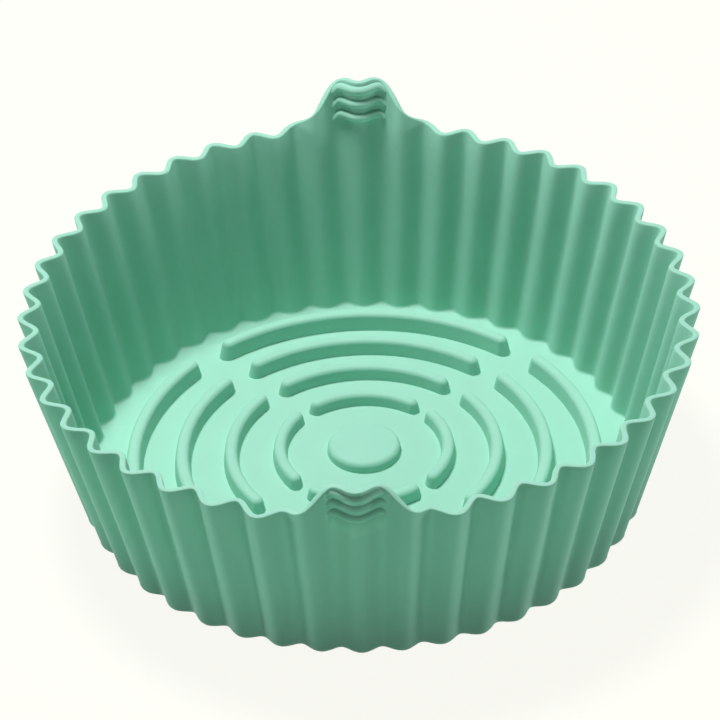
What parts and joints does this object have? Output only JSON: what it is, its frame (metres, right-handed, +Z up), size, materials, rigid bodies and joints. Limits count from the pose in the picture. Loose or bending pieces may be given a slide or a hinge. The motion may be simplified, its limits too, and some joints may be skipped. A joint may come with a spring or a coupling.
{
  "type": "silicone baking mould",
  "caption": "Round fluted silicone baking mould with a drafted wall, a domed floor with concentric rib rings and a raised disc, and two ridged grip tabs on the rim.",
  "frame": {"origin": "centre of the mould on the plane it rests on", "axes": "+Z up out of the open side; the two grip tabs are on the Y axis, the one nearer the viewer of the picture at -Y; +X to that viewer's right"},
  "size_m": [0.2062, 0.2168, 0.0783],
  "materials": {
    "silicone": "satin"
  },
  "bodies": {
    "root": {"mould": "silicone"}
  },
  "joints": []
}
